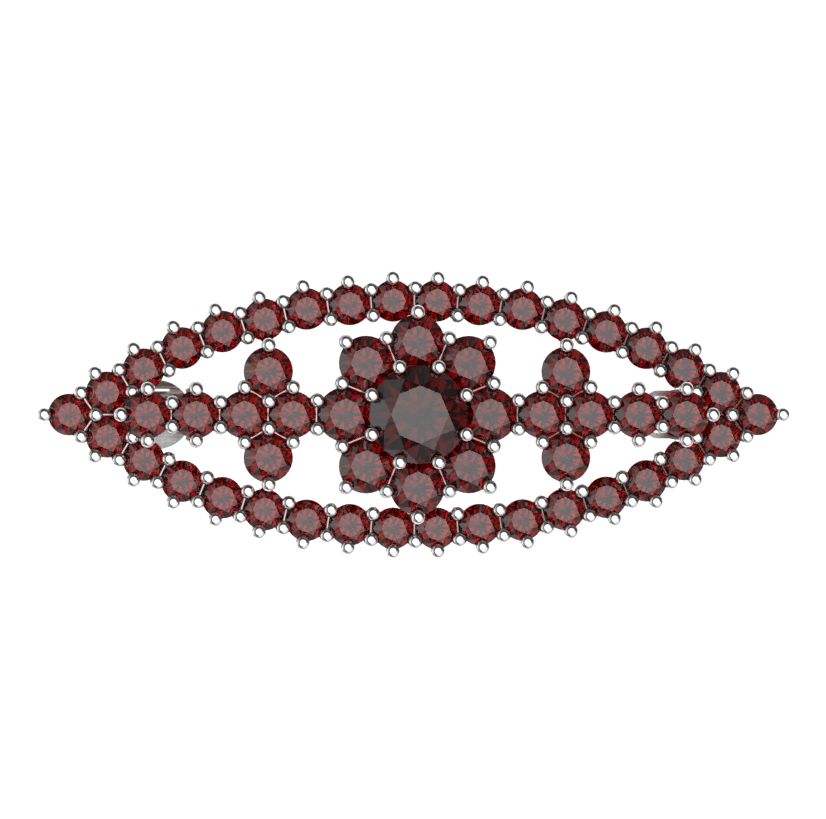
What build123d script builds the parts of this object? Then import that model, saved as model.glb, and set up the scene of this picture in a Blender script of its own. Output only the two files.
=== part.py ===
from build123d import *
import os
from math import asin, atan2, ceil, cos, degrees, dist, floor, radians, sin, sqrt, tan
from typing import NamedTuple

# Garnet brooch: an eye-shaped openwork frame of white silver, set with 55 round brilliants.
# Lengths are in millimetres and angles in degrees. The brooch lies on its back with its
# long axis along X and its face up. The origin is under its centre, on the surface it lies on.

# Stones: girdle diameters, and the gaps that keep neighbours apart
centre_stone_d = 6.1
petal_stone_d = 3.38
petal_gap = 0.077
petal_count = 8
row_stone_d = 2.94
row_gap = 0.06
row_count = 4
flower_gap = 0.088
cross_stone_d = 3.06
cross_gap = 0.06
border_gap = 0.12
border_steps = 17

# Cut of a brilliant: angles of its main facets, and shares of its girdle radius or diameter
main_facets = 8
crown_angle = 34.0
pavilion_angle = 41.0
table_share = 0.59
star_share = 0.78
lower_share = 0.24
girdle_share = 0.04

# Prongs: radius, the rounding of their rims, and how high they stand over the girdles
prong_r = 0.455
prong_rounding = 0.255
border_cover = 0.52
row_cover = 0.55
centre_cover = 0.6
prong_stub = 0.1

# Bites: how far the prongs reach in over the stones they hold, seen from above
mid_bite = 0.335
shared_mid_bite = 0.225
first_pair_bite = 0.175
last_pair_bite = 0.255
end_bite = 0.265
cross_bite = 0.35
petal_bite = 0.32
fork_bite = 0.177
centre_bite = 0.325
border_mid_bite = 0.331
tip_bite = 0.195
border_outer_bite = 0.177
border_inner_bite = 0.162
seat_clearance = 0.04

# Levels: the frame's back over the surface, and how much each prong tier tops the one below
back_z = 2.6
row_lift = 1.58
centre_lift = 0.7
culet_clearance = 0.15
border_culet_clearance = 0.35

# Border outline: from a row's last prong to the centre of the tip stone, the arcs' rise, and
# how far each stone stands off its arc, counted from the tip stone to the middle
tip_room = 3.07
border_rise = 7.215
border_sway = (0, -0.217, -0.146, -0.011, 0.004, -0.066, -0.019, -0.152, -0.133)

# Bars and rails
bar_width = 0.34
bar_ridge = 0.08
bar_height = 0.35
bar_drop = 0.12
chord_drop = 0.29
base_bar_width = 0.5
rail_height = 0.5
border_rail_width = 0.7
solder_width = 0.4

# Plates behind the row's last stones that carry the catch and the hinge
plate_thickness = 0.45
plate_bite = 0.05
catch_inset = 0.9
hinge_inset = 0.45
catch_disc_r = 2.15
hinge_plate_length = 3.2
hinge_plate_width = 3.0
hinge_plate_corner = 0.8
ridge_height = 0.14
ridge_width = 0.14
catch_ridge_length = 1.5
hinge_ridge_length = 0.9
hinge_ridge_turn = 28.0
ridge_inset = 0.25

# Pin, hinge and catch
pin_d = 0.9
pin_point_length = 2.4
pin_point_d = 0.24
point_rounding = 0.8
pin_overrun = 0.5
pin_axis_z = 1.1
eye_r = 0.95
rivet_d = 0.7
rivet_clearance = 0.06
eye_side_clearance = 0.08
ear_thickness = 0.55
ear_outer_width = 2.5
ear_length = 1.9
ear_corner = 0.5
catch_length = 1.8
catch_width = 2.5
catch_corner = 0.3
slot_clearance = 0.12


class Stone(NamedTuple):
    """One stone's place, girdle diameter and the height of its girdle's top edge."""

    x: float
    y: float
    diameter: float
    girdle_z: float


class Prong(NamedTuple):
    """One prong's place, foot and top."""

    x: float
    y: float
    foot_z: float
    top_z: float


def pavilion_depth(diameter):
    """Depth from the top of the girdle to the point of a stone."""
    return diameter * girdle_share + diameter / 2 * tan(radians(pavilion_angle))


def side_reach(reach, half_step):
    """Sideways offset of a prong that lies reach from a stone centre half_step away."""
    return sqrt(reach ** 2 - half_step ** 2)


# Places along the row, worked outwards from the flower
petal_step = 360 / petal_count
petal_ring_r = (petal_stone_d + petal_gap) / 2 / sin(radians(petal_step / 2))
row_pitch = row_stone_d + row_gap
row_first_x = petal_ring_r + petal_stone_d / 2 + flower_gap + row_stone_d / 2
row_last_x = row_first_x + (row_count - 1) * row_pitch
row_reach = row_stone_d / 2 + prong_r
row_end_x = row_last_x + row_reach - end_bite
cross_x = row_first_x + row_pitch / 2
cross_y = side_reach((row_stone_d + cross_stone_d) / 2 + cross_gap, row_pitch / 2)
cross_prong_y = cross_y + cross_stone_d / 2 + prong_r - cross_bite

# Rings of prongs about the flower's centre
petal_reach = petal_stone_d / 2 + prong_r
petal_prong_r = petal_ring_r + petal_reach - petal_bite
fork_half = petal_ring_r * sin(radians(petal_step / 2))
fork_r = petal_ring_r * cos(radians(petal_step / 2)) + side_reach(petal_reach - fork_bite, fork_half)
centre_ring_r = centre_stone_d / 2 + prong_r - centre_bite

# The border is one arc a side, whose ends stand clear of the row. Its stones fill equal steps.
half_length = row_end_x + tip_room
border_r = (half_length ** 2 + border_rise ** 2) / 2 / border_rise
border_half_angle = degrees(asin(half_length / border_r))
border_step = 2 * border_half_angle / border_steps
border_pitch = 2 * border_r * sin(radians(border_step / 2))
border_stone_d = border_pitch - border_gap

# How far the border's middle, outer and inner prongs lie from the line of its stones
border_reach = border_stone_d / 2 + prong_r
mid_offset = border_reach - border_mid_bite
outer_offset = side_reach(border_reach - border_outer_bite, border_pitch / 2)
inner_offset = side_reach(border_reach - border_inner_bite, border_pitch / 2)
tip_prong_x = half_length + border_reach - tip_bite

# Heights, worked up from the back
border_rail_top = back_z + prong_stub + rail_height
border_girdle_z = border_rail_top + border_culet_clearance + pavilion_depth(border_stone_d)
border_top_z = border_girdle_z + border_cover
row_top_z = border_top_z + row_lift
row_girdle_z = row_top_z - row_cover
row_rail_top = row_girdle_z - pavilion_depth(petal_stone_d) - culet_clearance
row_foot_z = row_rail_top - rail_height - prong_stub
centre_top_z = row_top_z + centre_lift
centre_girdle_z = centre_top_z - centre_cover
plate_top = back_z + plate_bite
plate_bottom = plate_top - plate_thickness

# The plates' centres along the row
catch_x = catch_inset - row_last_x
hinge_x = row_last_x - hinge_inset


def on_facet(point, corners):
    """The point moved up or down onto the plane of three corners."""
    first, second, third = corners
    normal = (second - first).cross(third - first)
    run = point - first
    return Vector(point.X, point.Y, first.Z - (normal.X * run.X + normal.Y * run.Y) / normal.Z)


def brilliant(diameter):
    """A round brilliant of flat facets, with its girdle's top edge at z = 0 where facets meet."""
    r = diameter / 2
    girdle = -diameter * girdle_share
    rise = tan(radians(crown_angle))
    fall = tan(radians(pavilion_angle))
    across = cos(radians(180 / main_facets))

    def at(turn, radius, z):
        """The point at this turn, counted in main facets."""
        angle = radians(360 / main_facets * turn)
        return Vector(radius * cos(angle), radius * sin(angle), z)

    table_z = r * (1 - table_share) * rise
    star_z = r * (1 - star_share * across) * rise
    lower_z = girdle - r * (1 - lower_share * across) * fall
    culet = Vector(0, 0, girdle - r * fall)
    facets = [[at(i, r * table_share, table_z) for i in range(main_facets)]]
    for i in range(main_facets):
        table = at(i, r * table_share, table_z)
        star = at(i + 0.5, r * star_share, star_z)
        lower = at(i + 0.5, r * lower_share, lower_z)
        facets.append([table, at(i + 1, r * table_share, table_z), star])
        facets.append([table, at(i - 0.5, r * star_share, star_z), at(i, r, 0), star])
        facets.append([culet, at(i - 0.5, r * lower_share, lower_z), at(i, r, girdle), lower])
        for start in (i, i + 0.5):
            tops = [at(start, r, 0), at(start + 0.5, r, 0)]
            bottoms = [at(start, r, girdle), at(start + 0.5, r, girdle)]
            top_middle = on_facet(at(start + 0.25, r, 0), [star] + tops)
            bottom_middle = on_facet(at(start + 0.25, r, 0), [lower] + bottoms)
            facets.append([star, tops[0], top_middle, tops[1]])
            facets.append([lower, bottoms[0], bottom_middle, bottoms[1]])
            facets.append([tops[0], bottoms[0], bottom_middle, top_middle])
            facets.append([top_middle, bottom_middle, bottoms[1], tops[1]])
    return Solid(Shell([Face(Wire.make_polygon(corners, close=True)) for corners in facets]))


def seat_cutter(diameter):
    """The room that a stone needs in the metal: its turned outline and the seat clearance."""
    r = diameter / 2
    rise = tan(radians(crown_angle))
    star_r = r * star_share
    star_z = r * (1 - star_share * cos(radians(180 / main_facets))) * rise
    table_r = r * table_share
    table_z = r * (1 - table_share) * rise
    girdle_z = -diameter * girdle_share
    culet_z = -pavilion_depth(diameter)
    gap = seat_clearance
    outline = Polyline(
        (0, culet_z - gap),
        (r + gap, girdle_z - gap / 2),
        (r + gap, gap),
        (star_r + gap, star_z + gap),
        (table_r + gap, table_z + gap),
        (0, table_z + gap),
        close=True,
    )
    return revolve(Plane.XZ * make_face(outline), Axis.Z)


def both_ends(x, y):
    """A place and its mirror image at the brooch's other end."""
    return [(x, y), (-x, y)]


def all_corners(x, y):
    """A place and its three mirror images about the two axes."""
    return both_ends(x, y) + both_ends(x, -y)


def polar(radius, angle):
    """The place at this radius and angle about the flower's centre."""
    return radius * cos(radians(angle)), radius * sin(radians(angle))


def sway(step):
    """How far the stones beside this step stand off their arc."""
    count = min(step, border_steps - step)
    last = len(border_sway) - 1
    return (border_sway[min(floor(count), last)] + border_sway[min(ceil(count), last)]) / 2


def border_place(side, step, offset):
    """The place at this step along the upper (1) or lower (-1) arc, offset outwards."""
    angle = radians(step * border_step - border_half_angle)
    radius = border_r + offset + sway(step)
    return radius * sin(angle), side * (border_rise - border_r + radius * cos(angle))


def tip_inner_x():
    """Place of the prong inside a tip stone, where the two arcs' inner prongs would meet."""
    return border_place(1, border_steps - 0.5, -inner_offset)[0]


def row_pair_y(index):
    """Half the spacing of a pair of prongs, counted outwards from the flower."""
    bite = first_pair_bite + (last_pair_bite - first_pair_bite) * index / (row_count - 1)
    return side_reach(row_reach - bite, row_pitch / 2)


def row_mid_y(index):
    """Offset of the prongs beside a row stone; the two stones by the cross share theirs."""
    return row_reach - (shared_mid_bite if index < 2 else mid_bite)


def row_pair_x(index):
    """Place along the row of a pair of prongs, counted outwards from the flower."""
    return row_first_x + (index - 0.5) * row_pitch


def row_prong_foot(index):
    """Foot of the prongs of a row stone: the last stone's stand on the plates."""
    return back_z if index == row_count - 1 else row_foot_z


def border_stones(side):
    """The stones of one arc between the two tip stones."""
    places = [border_place(side, step, 0) for step in range(1, border_steps)]
    return [Stone(x, y, border_stone_d, border_girdle_z) for x, y in places]


def single_stones():
    """Every stone that is a piece of its own, by name."""
    stones = {"centre_stone": Stone(0, 0, centre_stone_d, centre_girdle_z)}
    for i in range(petal_count):
        x, y = polar(petal_ring_r, i * petal_step)
        stones[f"petal_stone_{i + 1}"] = Stone(x, y, petal_stone_d, row_girdle_z)
    for end, sign in (("right", 1), ("left", -1)):
        for i in range(row_count):
            x = sign * (row_first_x + i * row_pitch)
            stones[f"row_stone_{end}_{i + 1}"] = Stone(x, 0, row_stone_d, row_girdle_z)
        for half, up in (("upper", 1), ("lower", -1)):
            place = Stone(sign * cross_x, up * cross_y, cross_stone_d, row_girdle_z)
            stones[f"cross_stone_{half}_{end}"] = place
        stones[f"tip_stone_{end}"] = Stone(sign * half_length, 0, border_stone_d, border_girdle_z)
    return stones


def border_prongs():
    """Prongs of the border and its tips, without the two that the flower shares."""
    places = both_ends(tip_prong_x, 0) + both_ends(tip_inner_x(), 0)
    for side in (1, -1):
        for step in range(border_steps):
            places.append(border_place(side, step + 0.5, outer_offset))
            if step > 0:
                places.append(border_place(side, step, mid_offset))
            if 0 < step < border_steps - 1 and 2 * step + 1 != border_steps:
                places.append(border_place(side, step + 0.5, -inner_offset))
    return [Prong(x, y, back_z, border_top_z) for x, y in places]


def row_prongs():
    """Prongs of the row and of the cross stones beside it."""
    prongs = []
    for i in range(row_count):
        foot = row_prong_foot(i)
        pairs = all_corners(row_pair_x(i), row_pair_y(i))
        mids = all_corners(row_first_x + i * row_pitch, row_mid_y(i))
        prongs += [Prong(x, y, foot, row_top_z) for x, y in pairs + mids]
    others = both_ends(row_end_x, 0) + all_corners(cross_x, cross_prong_y)
    return prongs + [Prong(x, y, row_foot_z, row_top_z) for x, y in others]


def flower_prongs():
    """Prongs about the centre stone, between the petals and outside them."""
    prongs = []
    for i in range(petal_count):
        angle = i * petal_step
        x, y = polar(centre_ring_r, angle + petal_step / 2)
        prongs.append(Prong(x, y, row_foot_z, centre_top_z))
        x, y = polar(fork_r, angle + petal_step / 2)
        prongs.append(Prong(x, y, row_foot_z, row_top_z))
        if angle % 180:
            x, y = polar(petal_prong_r, angle)
            foot = row_foot_z if angle % 90 else back_z
            prongs.append(Prong(x, y, foot, row_top_z))
    return prongs


def post(prong):
    """One prong as a round post whose rim is rounded over to a small flat head."""
    height = prong.top_z - prong.foot_z
    rim_z = height - prong_rounding
    head_r = prong_r - prong_rounding
    middle = prong_rounding * cos(radians(45))
    side = Polyline((head_r, height), (0, height), (0, 0), (prong_r, 0), (prong_r, rim_z))
    rim = ThreePointArc((prong_r, rim_z), (head_r + middle, rim_z + middle), (head_r, height))
    body = revolve(Plane.XZ * make_face(side + rim), Axis.Z)
    return Pos(prong.x, prong.y, prong.foot_z) * body


def along(body, start, end, top_z):
    """A body that runs along X from the origin, laid from start to end with its top at top_z."""
    angle = degrees(atan2(end[1] - start[1], end[0] - start[0]))
    return Pos(start[0], start[1], top_z) * Rot(0, 0, angle) * body


def bar(start, end, top_z, width=bar_width, height=bar_height):
    """A straight bar between two places whose upper edges are bevelled to a narrow ridge."""
    bevel = (width - bar_ridge) / 2
    outline = Polyline(
        (-width / 2, -height),
        (width / 2, -height),
        (width / 2, -bevel),
        (bar_ridge / 2, 0),
        (-bar_ridge / 2, 0),
        (-width / 2, -bevel),
        close=True,
    )
    return along(extrude(Plane.YZ * make_face(outline), dist(start, end)), start, end, top_z)


def base_bar(start, end, top_z):
    """A bar of the back, as wide and high as the rails it joins."""
    low = (Align.MIN, Align.CENTER, Align.MAX)
    return along(Box(dist(start, end), base_bar_width, rail_height, align=low), start, end, top_z)


def arc_rail(side):
    """The rail under one arc of border stones, cut off at the long axis."""
    bottom = border_rail_top - rail_height
    low = (Align.CENTER, Align.CENTER, Align.MIN)
    outer = Cylinder(border_r + border_rail_width / 2, rail_height, align=low)
    inner = Cylinder(border_r - border_rail_width / 2, rail_height, align=low)
    ring = Pos(0, side * (border_rise - border_r), bottom) * (outer - inner)
    reach = Box(2 * tip_prong_x, 2 * border_rise, rail_height,
                align=(Align.CENTER, Align.MIN if side > 0 else Align.MAX, Align.MIN))
    return ring & (Pos(0, 0, bottom) * reach)


def border_bars():
    """Rails, cross bars and partition bars of the border."""
    top = border_girdle_z - border_stone_d * girdle_share - bar_drop
    tip_inner = (tip_inner_x(), 0)
    solids = [arc_rail(1), arc_rail(-1)]
    for sign in (1, -1):
        start = (sign * tip_inner[0], 0)
        solids.append(base_bar(start, (sign * tip_prong_x, 0), border_rail_top))
    for side in (1, -1):
        for step in range(border_steps):
            outer = border_place(side, step + 0.5, outer_offset)
            inner = border_place(side, step + 0.5, -inner_offset)
            solids.append(base_bar(inner, outer, border_rail_top))
            solids.append(bar(inner, outer, top))
            if step > 0:
                middle = border_place(side, step, mid_offset)
                solids.append(base_bar(border_place(side, step, 0), middle, border_rail_top))
    return solids


def row_bars():
    """The row's rail, the bars between its prongs and those of the cross."""
    top = row_girdle_z - cross_stone_d * girdle_share - bar_drop
    solids = []
    for sign in (1, -1):
        start = (sign * petal_ring_r, 0)
        solids.append(base_bar(start, (sign * row_end_x, 0), row_rail_top))
        for i in range(row_count):
            x = sign * row_pair_x(i)
            y = row_pair_y(i)
            solids.append(base_bar((x, -y), (x, y), row_rail_top))
            solids.append(bar((x, -y), (x, y), top))
            x = sign * (row_first_x + i * row_pitch)
            y = row_mid_y(i)
            solids.append(base_bar((x, -y), (x, y), row_rail_top))
        x = sign * cross_x
        solids.append(base_bar((x, -cross_prong_y), (x, cross_prong_y), row_rail_top))
        for up in (1, -1):
            corner = (x, up * row_pair_y(1))
            for i in (0, 1):
                mid = (sign * (row_first_x + i * row_pitch), up * row_mid_y(i))
                solids.append(bar(corner, mid, top))
    return solids


def flower_bars():
    """The flower's ring, its spokes and the chords between its inner prongs."""
    top = row_girdle_z - petal_stone_d * girdle_share - bar_drop
    low = (Align.CENTER, Align.CENTER, Align.MAX)
    outer = Cylinder(petal_ring_r + base_bar_width / 2, rail_height, align=low)
    inner = Cylinder(petal_ring_r - base_bar_width / 2, rail_height, align=low)
    solids = [Pos(0, 0, row_rail_top) * (outer - inner)]
    for i in range(petal_count):
        angle = i * petal_step
        turn = angle + petal_step / 2
        inner_prong = polar(centre_ring_r, turn)
        fork_prong = polar(fork_r, turn)
        solids.append(bar(inner_prong, fork_prong, top))
        solids.append(base_bar(inner_prong, fork_prong, row_rail_top))
        solids.append(bar(inner_prong, polar(centre_ring_r, turn + petal_step), top - chord_drop))
        if angle % 180:
            start = polar(petal_ring_r, angle)
            solids.append(base_bar(start, polar(petal_prong_r, angle), row_rail_top))
    return solids


def solder_bars():
    """Bars that tie the row's ends to the border's tips."""
    top = border_girdle_z - bar_drop
    inner_x, inner_y = border_place(1, border_steps - 1.5, -inner_offset)
    solids = []
    for sign in (1, -1):
        end = (sign * row_end_x, 0)
        solids.append(bar(end, (sign * tip_inner_x(), 0), top))
        for up in (1, -1):
            inner = (sign * inner_x, up * inner_y)
            mid = (sign * row_last_x, up * row_mid_y(row_count - 1))
            solids.append(bar(end, inner, top))
            solids.append(bar(mid, inner, top, solder_width, rail_height))
    return solids


def ridge(x, y, length, turn):
    """A thin raised line on a plate's face."""
    body = Box(length, ridge_width, 2 * ridge_height)
    return Pos(x, y, plate_top) * Rot(0, 0, turn) * body


def catch_fitting():
    """The disc behind the left end and the open hook that takes the pin."""
    low = (Align.CENTER, Align.CENTER, Align.MIN)
    disc = Pos(catch_x, 0, plate_bottom) * Cylinder(catch_disc_r, plate_thickness, align=low)
    ridge_y = catch_disc_r * sin(radians(45))
    line = ridge(catch_x, ridge_y, catch_ridge_length, 0)
    outline = Pos(0, plate_bottom / 2) * Rectangle(catch_width, plate_bottom)
    outline = fillet(outline.vertices().group_by(Axis.Y)[0], catch_corner)
    slot_r = pin_d / 2 + slot_clearance
    mouth = Rectangle(catch_width, 2 * slot_r, align=(Align.MIN, Align.CENTER))
    slot = Pos(0, pin_axis_z) * (Circle(slot_r) + mouth)
    hook = extrude(Plane.YZ * (outline - slot), catch_length / 2, both=True)
    return [disc, line, Pos(catch_x, 0, 0) * hook]


def hinge_fitting():
    """The plate behind the right end with the two ears and the rivet of the hinge."""
    plate = RectangleRounded(hinge_plate_length, hinge_plate_width, hinge_plate_corner)
    solids = [Pos(hinge_x, 0, plate_bottom) * extrude(plate, plate_thickness)]
    outline = Pos(0, plate_bottom / 2) * Rectangle(ear_length, plate_bottom)
    outline = fillet(outline.vertices().group_by(Axis.Y)[0], ear_corner)
    ear = extrude(Plane.XZ * outline, ear_thickness / 2, both=True)
    for up in (1, -1):
        ear_y = up * (ear_outer_width - ear_thickness) / 2
        solids.append(Pos(hinge_x, ear_y, 0) * ear)
        ridge_y = up * (hinge_plate_width / 2 - ridge_inset)
        solids.append(ridge(hinge_x, ridge_y, hinge_ridge_length, up * hinge_ridge_turn))
    rivet = Rot(90, 0, 0) * Cylinder(rivet_d / 2, ear_outer_width - ear_thickness)
    return solids + [Pos(hinge_x, 0, pin_axis_z) * rivet]


def make_setting():
    """All the soldered silver as one solid, cut away where the stones sit."""
    posts = [post(prong) for prong in border_prongs() + row_prongs() + flower_prongs()]
    bars = border_bars() + row_bars() + flower_bars() + solder_bars()
    metal = posts[0].fuse(*posts[1:], *bars, *catch_fitting(), *hinge_fitting())
    stones = list(single_stones().values()) + border_stones(1) + border_stones(-1)
    seats = [Pos(s.x, s.y, s.girdle_z) * seat_cutter(s.diameter) for s in stones]
    return metal.cut(*seats)


def make_pin():
    """The pin: an eye on the rivet, a straight stem and a point that passes the catch."""
    eye_width = ear_outer_width - 2 * ear_thickness - 2 * eye_side_clearance
    eye = Rot(90, 0, 0) * Cylinder(eye_r, eye_width)
    bore = Rot(90, 0, 0) * Cylinder(rivet_d / 2 + rivet_clearance, 2 * eye_width)
    end = hinge_x - catch_x + catch_length / 2 + pin_overrun
    stem_length = end - pin_point_length
    stem = Pos(-stem_length / 2, 0, 0) * Rot(0, 90, 0) * Cylinder(pin_d / 2, stem_length)
    cone = Cone(pin_d / 2, pin_point_d / 2, pin_point_length)
    point = Pos(-stem_length - pin_point_length / 2, 0, 0) * Rot(0, -90, 0) * cone
    point = fillet(point.edges().sort_by(Axis.X)[0], pin_point_d / 2 * point_rounding)
    return Pos(hinge_x, 0, pin_axis_z) * (eye + stem + point - bore)


def place_stone(stone):
    """A brilliant at a stone's place."""
    return Pos(stone.x, stone.y, stone.girdle_z) * brilliant(stone.diameter)


def write_parts():
    """Write one STEP file for each piece."""
    os.makedirs("parts", exist_ok=True)
    pieces = {"setting": make_setting(), "pin_stem": make_pin()}
    pieces |= {node: place_stone(stone) for node, stone in single_stones().items()}
    for half, side in (("upper", 1), ("lower", -1)):
        field = Compound([place_stone(stone) for stone in border_stones(side)])
        pieces[f"border_stones_{half}"] = field
    for node, piece in pieces.items():
        export_step(piece, f"parts/{node}.step")


write_parts()
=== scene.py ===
import logging
from dataclasses import dataclass, field
from enum import Enum
from math import cos, radians, sin, tan

import bpy
from mathutils import Matrix, Vector


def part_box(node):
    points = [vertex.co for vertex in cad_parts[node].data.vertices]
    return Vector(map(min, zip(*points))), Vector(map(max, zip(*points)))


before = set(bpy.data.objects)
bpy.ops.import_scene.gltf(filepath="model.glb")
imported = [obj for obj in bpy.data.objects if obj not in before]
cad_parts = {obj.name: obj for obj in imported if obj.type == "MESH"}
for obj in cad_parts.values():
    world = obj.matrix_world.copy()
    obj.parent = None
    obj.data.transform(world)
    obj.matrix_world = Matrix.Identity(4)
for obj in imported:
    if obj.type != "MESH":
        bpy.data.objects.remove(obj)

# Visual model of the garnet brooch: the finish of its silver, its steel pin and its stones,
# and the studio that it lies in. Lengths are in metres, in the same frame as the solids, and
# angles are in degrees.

LOG = logging.getLogger("brooch")
MM = 0.001
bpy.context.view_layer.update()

Color = tuple[float, float, float, float]
Span = tuple[float, float]

WHITE: Color = (1.0, 1.0, 1.0, 1.0)


class Signal:
    """One output of a shader node, on which plain arithmetic adds Math nodes."""

    def __init__(self, recipe: "Recipe", socket: bpy.types.NodeSocket | None) -> None:
        """Keep the recipe that the nodes go into and the socket that is read."""
        self.recipe = recipe
        self.socket = socket

    def _math(self, operation: str, first: "Signal | float", second: "Signal | float") -> "Signal":
        """Add a Math node for one operation on two operands."""
        return self.recipe.node("ShaderNodeMath", {"operation": operation}, {0: first, 1: second})

    def __add__(self, other: "Signal | float") -> "Signal":
        """Return self + other."""
        return self._math("ADD", self, other)

    def __radd__(self, other: float) -> "Signal":
        """Return other + self."""
        return self._math("ADD", other, self)

    def __sub__(self, other: "Signal | float") -> "Signal":
        """Return self - other."""
        return self._math("SUBTRACT", self, other)

    def __rsub__(self, other: float) -> "Signal":
        """Return other - self."""
        return self._math("SUBTRACT", other, self)

    def __mul__(self, other: "Signal | float") -> "Signal":
        """Return self * other."""
        return self._math("MULTIPLY", self, other)

    def __rmul__(self, other: float) -> "Signal":
        """Return other * self."""
        return self._math("MULTIPLY", other, self)

    def lifted(self, least: float) -> "Signal":
        """Squeeze a signal of 0 to 1 into the range from a least value to 1."""
        return least + (1.0 - least) * self


@dataclass(frozen=True)
class Grain:
    """A pattern of blotches, which stretch factors under 1 draw out into streaks."""

    size: float
    detail: float = 3.0
    stretch: tuple[float, float, float] = (1.0, 1.0, 1.0)
    turn: float = 0.0


class Recipe:
    """The node tree of one material or of the world, built by plain calls."""

    def __init__(self, tree: bpy.types.NodeTree) -> None:
        """Empty the tree that the recipe fills."""
        self.tree = tree
        tree.nodes.clear()

    def node(self, kind: str, settings: dict | None = None, inputs: dict | None = None,
             output: int | str = 0) -> Signal:
        """Add one node.

        Args:
            kind: The node's type name.
            settings: Properties that are set first.
            inputs: Values or signals by socket name or number.
            output: The output that is returned.

        Returns:
            The chosen output as a signal, or an empty one where the node has none.
        """
        made = self.tree.nodes.new(kind)
        for name, value in (settings or {}).items():
            setattr(made, name, value)
        for name, value in (inputs or {}).items():
            if isinstance(value, Signal):
                self.tree.links.new(value.socket, made.inputs[name])
            else:
                made.inputs[name].default_value = value
        return Signal(self, made.outputs[output] if made.outputs else None)

    def axis(self, name: str, source: str = "Object") -> Signal:
        """Read one axis of the object's own coordinates, or of its normal."""
        point = self.node("ShaderNodeTexCoord", output=source)
        return self.node("ShaderNodeSeparateXYZ", None, {0: point}, name)

    def noise(self, grain: Grain) -> Signal:
        """Read a grain at the object's own coordinates.

        Args:
            grain: The size, finer layers, stretch and turn about Z of its blotches.

        Returns:
            A signal of about 0 to 1.
        """
        point = self.node("ShaderNodeTexCoord", output="Object")
        turned = self.node("ShaderNodeMapping", None, {
            "Vector": point, "Rotation": (0.0, 0.0, radians(grain.turn)), "Scale": grain.stretch})
        return self.node("ShaderNodeTexNoise", None, {
            "Vector": turned, "Scale": 1.0 / grain.size, "Detail": grain.detail}, "Fac")

    def fade(self, value: Signal, start: float, end: float) -> Signal:
        """Rise smoothly from 0 to 1.

        Args:
            value: The signal that is followed.
            start: The value at which the result is 0.
            end: The value at which it is 1, over or under the start.

        Returns:
            A signal of 0 to 1.
        """
        low, high = min(start, end), max(start, end)
        first, last = (0.0, 1.0) if start < end else (1.0, 0.0)
        return self.node("ShaderNodeMapRange", {"interpolation_type": "SMOOTHSTEP"}, {
            0: value, 1: low, 2: high, 3: first, 4: last})

    def band(self, value: Signal, low: float, high: float, edge: float) -> Signal:
        """Mark the range between two values.

        Args:
            value: The signal that is followed.
            low: The value at which the range starts.
            high: The value at which it ends.
            edge: How far each end fades to both sides.

        Returns:
            A signal that is 1 within the range and 0 outside it.
        """
        return (self.fade(value, low - edge, low + edge)
                * self.fade(value, high + edge, high - edge))

    def blend(self, share: Signal, first: "Signal | Color", second: "Signal | Color") -> Signal:
        """Mix two colors by a share of the second."""
        return self.node("ShaderNodeMix", {"data_type": "RGBA"}, {0: share, 6: first, 7: second}, 2)

    def bump(self, height: Signal, depth: float) -> Signal:
        """Turn a height of 0 to 1 into a normal, for a relief of this depth."""
        return self.node("ShaderNodeBump", None, {
            "Height": height, "Distance": depth, "Strength": 1.0})


def new_material(name: str) -> tuple[bpy.types.Material, Recipe]:
    """Make an empty material.

    Args:
        name: The material's name.

    Returns:
        The material and the recipe that fills it.
    """
    material = bpy.data.materials.new(name)
    material.use_nodes = True
    return material, Recipe(material.node_tree)


def dress(node: str, material: bpy.types.Material) -> None:
    """Give a carried-over solid its finish in every one of its material slots.

    Args:
        node: The solid's name in the frame.
        material: The finish.
    """
    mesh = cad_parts[node].data
    for slot in range(len(mesh.materials)):
        mesh.materials[slot] = material


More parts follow.
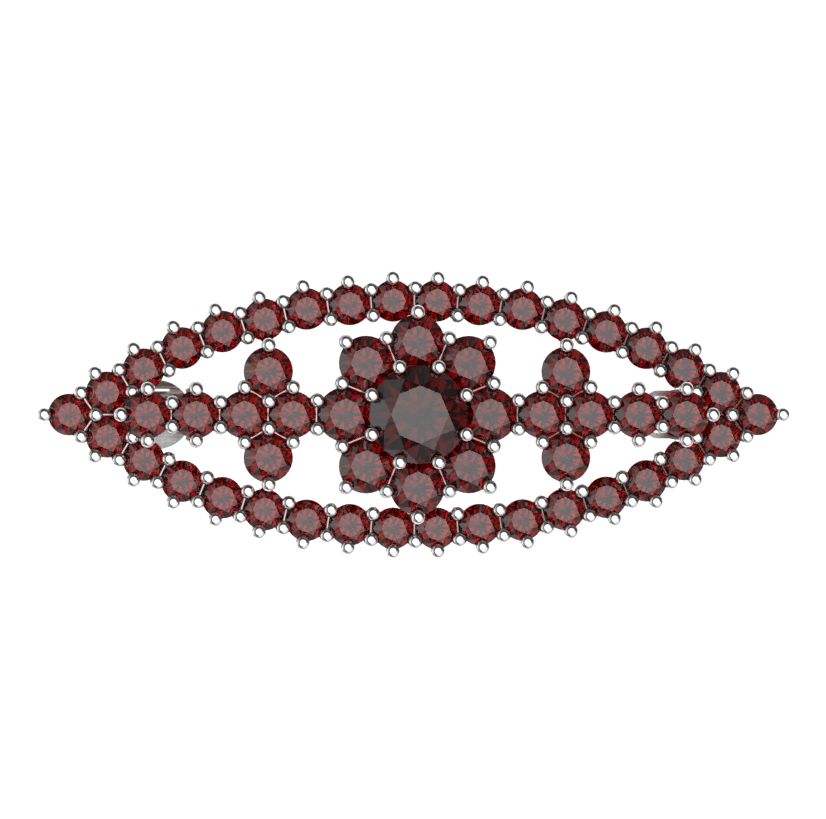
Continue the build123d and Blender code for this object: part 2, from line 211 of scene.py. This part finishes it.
@dataclass(frozen=True)
class SilverFinish:
    """White silver: bright on the prongs, brushed on the plates, with painted shade on the bars."""

    bright: Color = (0.70, 0.70, 0.695, 1.0)
    # A little darker lower down, in cloudy patches.
    lower_tone: Color = (0.66, 0.655, 0.645, 1.0)
    lower_tone_height: Span = (4.2 * MM, 2.65 * MM)
    cloud: Grain = Grain(0.9 * MM)
    mirror_roughness: float = 0.06
    handling_roughness: float = 0.10
    handling_marks: Span = (0.45, 0.8)
    scratches: Grain = Grain(0.05 * MM, 2.0, (0.12, 1.0, 1.0), 31.0)
    scratch_depth: float = 0.0015 * MM

    satin: Color = (0.68, 0.675, 0.66, 1.0)
    least_satin: float = 0.65
    plate_height: Span = (2.70 * MM, 2.65 * MM)
    brushing: Grain = Grain(0.11 * MM, 4.0, (0.06, 1.0, 1.0), -8.0)
    brushed_roughness: float = 0.23
    brushed_spread: float = 0.30
    brush_depth: float = 0.012 * MM

    # Painted reflection: brown stripes on the catch's disc that stand in for what it mirrors.
    reflection_brown: Color = (0.17, 0.13, 0.10, 1.0)
    reflection_x: Span = (-13.6 * MM, -14.2 * MM)
    reflection_y: Span = (0.95 * MM, 1.25 * MM)
    stripes: Grain = Grain(0.35 * MM, 2.0, (0.16, 1.0, 1.0), 14.0)
    stripe_marks: Span = (0.42, 0.56)

    # Painted shade on the bars' upward faces: darker than the silver, and darker towards the right.
    bar_shade_left: Color = (0.39, 0.385, 0.375, 1.0)
    bar_shade_right: Color = (0.065, 0.062, 0.058, 1.0)
    bar_shade_x: Span = (-12.0 * MM, 19.0 * MM)
    bar_tops: Span = (4.69 * MM, 6.13 * MM)
    bar_depth: float = 0.50 * MM
    bar_edge: float = 0.01 * MM
    bar_facing: Span = (0.3, 0.6)

    def disc_painted_reflections(self, recipe: Recipe) -> Signal:
        """Mark the painted reflections: dark brown stripes on the upper half of the catch's disc,
        which stand in for the posts and stones mirrored in it.

        Args:
            recipe: The recipe that the nodes go into.

        Returns:
            A signal of 0 to 1.
        """
        corner = (recipe.fade(recipe.axis("X"), *self.reflection_x)
                  * recipe.fade(recipe.axis("Y"), *self.reflection_y))
        return corner * recipe.fade(recipe.noise(self.stripes), *self.stripe_marks)

    def bar_ridges(self, recipe: Recipe, height: Signal) -> Signal:
        """Mark what faces up at the heights of the bars, on both levels, where shade is painted.

        Args:
            recipe: The recipe that the nodes go into.
            height: The height over the floor.

        Returns:
            A signal of 0 to 1.
        """
        lower, upper = (recipe.band(height, top - self.bar_depth, top, self.bar_edge)
                        for top in self.bar_tops)
        return (lower + upper) * recipe.fade(recipe.axis("Z", "Normal"), *self.bar_facing)

    def bar_painted_shade(self, recipe: Recipe) -> Signal:
        """Paint shade on the bars: darker than the silver, and darker still towards the right."""
        along = recipe.fade(recipe.axis("X"), *self.bar_shade_x)
        return recipe.blend(along, self.bar_shade_left, self.bar_shade_right)

    def material(self) -> bpy.types.Material:
        """Build the material: its color, its roughness and its fine relief.

        Returns:
            The finished material.
        """
        material, recipe = new_material("white_silver")
        height = recipe.axis("Z")
        plates = recipe.fade(height, *self.plate_height)
        cloud = recipe.noise(self.cloud)
        scratches = recipe.noise(self.scratches)
        brushing = recipe.noise(self.brushing)

        # A little darker lower down, in cloudy patches.
        low = recipe.fade(height, *self.lower_tone_height)
        darkened_low = recipe.blend(low * cloud, self.bright, self.lower_tone)
        brushed = recipe.blend(plates * brushing.lifted(self.least_satin), darkened_low, self.satin)
        # Painted reflection: brown stripes on the upper half of the catch's disc.
        striped = recipe.blend(plates * self.disc_painted_reflections(recipe), brushed, self.reflection_brown)
        # Painted shade: the bars' upward faces are darkened, more towards the right.
        color = recipe.blend(self.bar_ridges(recipe, height), striped, self.bar_painted_shade(recipe))

        polish = (self.mirror_roughness
                  + self.handling_roughness * recipe.fade(cloud, *self.handling_marks))
        drawn = self.brushed_roughness + self.brushed_spread * brushing
        roughness = polish * (1.0 - plates) + plates * drawn
        scratched = scratches * (1.0 - plates) * (self.scratch_depth / self.brush_depth)
        relief = recipe.bump(scratched + brushing * plates, self.brush_depth)
        shader = recipe.node("ShaderNodeBsdfPrincipled", None, {
            "Base Color": color, "Metallic": 1.0, "Roughness": roughness, "Normal": relief})
        recipe.node("ShaderNodeOutputMaterial", None, {"Surface": shader})
        return material


@dataclass(frozen=True)
class PinSteelFinish:
    """Drawn steel wire with fine lines along it."""

    bright: Color = (0.74, 0.74, 0.75, 1.0)
    dark: Color = (0.50, 0.50, 0.51, 1.0)
    lines: Grain = Grain(0.04 * MM, 4.0, (0.03, 1.0, 1.0))
    line_marks: Span = (0.35, 0.7)
    line_depth: float = 0.002 * MM
    cloud: Grain = Grain(1.4 * MM)
    least_dark: float = 0.4
    smooth_roughness: float = 0.16
    drawn_roughness: float = 0.22

    def material(self) -> bpy.types.Material:
        """Build the material: its color, its roughness and its drawing lines.

        Returns:
            The finished material.
        """
        material, recipe = new_material("drawn_steel")
        lines = recipe.noise(self.lines)
        cloud = recipe.noise(self.cloud)
        darkened = recipe.fade(lines, *self.line_marks) * cloud.lifted(self.least_dark)
        shader = recipe.node("ShaderNodeBsdfPrincipled", None, {
            "Base Color": recipe.blend(darkened, self.bright, self.dark), "Metallic": 1.0,
            "Roughness": self.smooth_roughness + self.drawn_roughness * lines,
            "Normal": recipe.bump(lines, self.line_depth)})
        recipe.node("ShaderNodeOutputMaterial", None, {"Surface": shader})
        return material


class Tone(Enum):
    """The stones' levels in the brooch, each with a depth of red of its own."""

    BORDER = "garnet_border"
    ROW = "garnet_row"
    CENTRE = "garnet_centre"


@dataclass(frozen=True)
class GarnetFinish:
    """Clear garnet that lets only deep red through, with faint zoning and a frosted girdle."""

    tone: Tone
    density: float
    girdle_top: float
    girdle_depth: float
    girdle_edge: float = 0.1
    girdle_color: Color = (0.72, 0.52, 0.54, 1.0)
    frost_roughness: float = 0.38
    ior: float = 1.77
    passes: Color = (0.88, 0.0, 0.0, 1.0)
    zoned: Color = (0.90, 0.80, 0.82, 1.0)
    zones: Grain = Grain(1.1 * MM, 2.0, (1.0, 0.35, 0.6), 24.0)
    zone_marks: Span = (0.4, 0.75)
    silk: Grain = Grain(0.06 * MM, 3.0, (1.0, 0.1, 1.0), 55.0)
    silk_marks: Span = (0.5, 0.8)
    silk_roughness: float = 0.012

    def material(self) -> bpy.types.Material:
        """Build the material: its surface and the red of its depth.

        Returns:
            The finished material.
        """
        material, recipe = new_material(self.tone.value)
        girdle = recipe.band(recipe.axis("Z"), self.girdle_top - self.girdle_depth,
                             self.girdle_top, self.girdle_edge * self.girdle_depth)
        zones = recipe.fade(recipe.noise(self.zones), *self.zone_marks)
        silk = recipe.fade(recipe.noise(self.silk), *self.silk_marks)
        body = recipe.blend(zones, WHITE, self.zoned)
        shader = recipe.node("ShaderNodeBsdfPrincipled", None, {
            "Base Color": recipe.blend(girdle, body, self.girdle_color),
            "Roughness": girdle * self.frost_roughness + self.silk_roughness * silk,
            "IOR": self.ior, "Transmission Weight": 1.0})
        depth = recipe.node("ShaderNodeVolumeAbsorption", None, {
            "Color": self.passes, "Density": self.density})
        recipe.node("ShaderNodeOutputMaterial", None, {"Surface": shader, "Volume": depth})
        return material


@dataclass(frozen=True)
class PaperFinish:
    """The pale paper that the brooch lies on, with a glow that keeps it white."""

    sheet: Color = (0.92, 0.92, 0.92, 1.0)
    fibre: Color = (0.88, 0.88, 0.88, 1.0)
    fibres: Grain = Grain(0.8 * MM, 4.0, (1.0, 0.3, 1.0), 40.0)
    roughness: float = 0.9
    gloss: float = 0.1
    glow: float = 0.93

    def material(self) -> bpy.types.Material:
        """Build the material: its color, its fibres and its glow.

        Returns:
            The finished material.
        """
        material, recipe = new_material("pale_paper")
        color = recipe.blend(recipe.noise(self.fibres), self.sheet, self.fibre)
        shader = recipe.node("ShaderNodeBsdfPrincipled", None, {
            "Base Color": color, "Roughness": self.roughness, "Specular IOR Level": self.gloss,
            "Emission Color": WHITE, "Emission Strength": self.glow})
        recipe.node("ShaderNodeOutputMaterial", None, {"Surface": shader})
        return material


@dataclass
class Setting:
    """The soldered silver: prongs, bars, rails, plates, catch and hinge in one piece."""

    node: str = "setting"
    finish: SilverFinish = field(default_factory=SilverFinish)

    def build(self) -> None:
        """Dress the silver."""
        dress(self.node, self.finish.material())
        LOG.info("%s: white silver", self.node)


@dataclass
class Pin:
    """The pin behind the brooch, from its eye on the rivet to its point past the catch."""

    node: str = "pin_stem"
    finish: PinSteelFinish = field(default_factory=PinSteelFinish)

    def build(self) -> None:
        """Dress the pin."""
        dress(self.node, self.finish.material())
        LOG.info("%s: drawn steel", self.node)


@dataclass
class StoneSet:
    """Stones that share one level and one depth of red."""

    tone: Tone
    density: float
    nodes: list[str]
    gauge: str
    table_share: float = 0.59
    crown_angle: float = 34.0
    girdle_share: float = 0.04

    def finish(self) -> GarnetFinish:
        """Work out the girdle's band from the box of one stone.

        Returns:
            The finish of the set.
        """
        low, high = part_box(self.gauge)
        diameter = high[0] - low[0]
        crown = diameter / 2 * (1 - self.table_share) * tan(radians(self.crown_angle))
        return GarnetFinish(self.tone, self.density, high[2] - crown, diameter * self.girdle_share)

    def build(self) -> None:
        """Dress every stone of the set."""
        material = self.finish().material()
        for node in self.nodes:
            dress(node, material)
        LOG.info("%s: %d nodes", self.tone.value, len(self.nodes))


@dataclass
class Stones:
    """All the garnets, level by level."""

    petal_count: int = 8
    row_count: int = 4
    border_density: float = 4400.0
    row_density: float = 3900.0
    centre_density: float = 3200.0

    def sets(self) -> list[StoneSet]:
        """Sort the stones by level.

        Returns:
            The sets of stones with their nodes.
        """
        ends = ("left", "right")
        halves = ("upper", "lower")
        row = [f"petal_stone_{i + 1}" for i in range(self.petal_count)]
        row += [f"row_stone_{end}_{i + 1}" for end in ends for i in range(self.row_count)]
        border = [f"border_stones_{half}" for half in halves] + [f"tip_stone_{end}" for end in ends]
        crosses = [f"cross_stone_{half}_{end}" for half in halves for end in ends]
        return [
            StoneSet(Tone.BORDER, self.border_density, border, "tip_stone_left"),
            StoneSet(Tone.ROW, self.row_density, row + crosses, "row_stone_left_1"),
            StoneSet(Tone.CENTRE, self.centre_density, ["centre_stone"], "centre_stone"),
        ]

    def build(self) -> None:
        """Dress all the stones."""
        for stones in self.sets():
            stones.build()


@dataclass(frozen=True)
class SoftBox:
    """One soft light in the room: where it stands, how wide it looks and how bright it is."""

    zenith: float
    azimuth: float
    half_angle: float
    softness: float
    strength: float

    def aim(self) -> tuple[float, float, float]:
        """Return the direction of the light's middle."""
        zenith, azimuth = radians(self.zenith), radians(self.azimuth)
        return sin(zenith) * cos(azimuth), sin(zenith) * sin(azimuth), cos(zenith)

    def glow(self, recipe: Recipe, direction: Signal) -> Signal:
        """Light the directions round the light's middle.

        Args:
            recipe: The world's recipe.
            direction: The direction in which the world is seen.

        Returns:
            The light's strength in that direction.
        """
        near = recipe.node("ShaderNodeVectorMath", {"operation": "DOT_PRODUCT"},
                           {0: direction, 1: self.aim()}, "Value")
        outer = cos(radians(self.half_angle + self.softness))
        inner = cos(radians(self.half_angle - self.softness))
        return recipe.fade(near, outer, inner) * self.strength


@dataclass
class Studio:
    """The paper under the brooch and the dim room with its soft lights."""

    paper_size: float = 6.0
    room: float = 0.09
    boxes: list[SoftBox] = field(default_factory=lambda: [
        SoftBox(5, 345, 9, 3, 1.93),
        SoftBox(38, 313, 26, 5, 1.20),
        SoftBox(72, 318, 24, 6, 0.50),
        SoftBox(72, 274, 20, 8, 0.36),
        SoftBox(80, 65, 25, 8, 0.22),
        SoftBox(72, 185, 24, 5, 1.25),
        SoftBox(60, 142, 18, 5, 0.58),
        SoftBox(51, 217, 19, 5, 0.58),
        SoftBox(86, 250, 19, 5, 1.00),
        SoftBox(50, 172, 25, 5, 0.65),
    ])

    def build(self) -> None:
        """Lay the paper and light the room."""
        bpy.ops.object.select_all(action="DESELECT")
        bpy.ops.mesh.primitive_plane_add(size=self.paper_size, location=(0.0, 0.0, 0.0))
        paper = bpy.context.object
        paper.name = "paper"
        paper.data.materials.append(PaperFinish().material())
        self.light()
        LOG.info("paper and %d soft lights", len(self.boxes))

    def light(self) -> None:
        """Fill the world: a dim room, in which the brightest light wins in each direction."""
        world = bpy.data.worlds.new("studio")
        bpy.context.scene.world = world
        world.use_nodes = True
        recipe = Recipe(world.node_tree)
        direction = recipe.node("ShaderNodeTexCoord", output="Generated")
        level = self.room
        for box in self.boxes:
            level = recipe.node("ShaderNodeMath", {"operation": "MAXIMUM"},
                                {0: box.glow(recipe, direction), 1: level})
        background = recipe.node("ShaderNodeBackground", None, {"Color": WHITE, "Strength": level})
        recipe.node("ShaderNodeOutputWorld", None, {"Surface": background})


@dataclass
class PhotoCamera:
    """A long lens over the brooch and a little to its left, as the photo was taken."""

    turn: float = 6.2
    distance: float = 535.7 * MM
    focus_z: float = 5.3 * MM
    image_width: float = 826.0
    image_height: float = 819.0
    pixels_per_mm: float = 16.127
    centre_column: float = 415.65
    centre_row: float = 414.60
    sensor: float = 36.0
    nearest: float = 0.01
    farthest: float = 20.0

    def build(self) -> None:
        """Place the camera so that the brooch's centre falls on its pixel of the photo."""
        turn = radians(self.turn)
        right = Vector((cos(turn), 0.0, sin(turn)))
        up = Vector((0.0, 1.0, 0.0))
        back = Vector((-sin(turn), 0.0, cos(turn)))
        pixel = MM / self.pixels_per_mm
        aim = (Vector((0.0, 0.0, self.focus_z))
               + right * (self.image_width / 2 - self.centre_column) * pixel
               + up * (self.centre_row - self.image_height / 2) * pixel)
        lens = bpy.data.cameras.new("photo_camera")
        lens.sensor_width = self.sensor
        lens.lens = self.sensor * self.distance / (self.image_width * pixel)
        lens.clip_start = self.nearest
        lens.clip_end = self.farthest
        camera = bpy.data.objects.new("photo_camera", lens)
        bpy.context.scene.collection.objects.link(camera)
        turned = Matrix((right, up, back)).transposed().to_4x4()
        camera.matrix_world = Matrix.Translation(aim + back * self.distance) @ turned
        bpy.context.scene.camera = camera
        LOG.info("camera: %.1f mm lens, %.0f mm away", lens.lens, self.distance / MM)


def main() -> None:
    """Build the camera, the studio and the brooch, piece by piece."""
    logging.basicConfig(level=logging.INFO, format="%(name)s: %(message)s")
    bpy.context.scene.view_settings.view_transform = "Standard"
    for part in (PhotoCamera(), Studio(), Setting(), Pin(), Stones()):
        part.build()


if __name__ == "__main__":
    main()
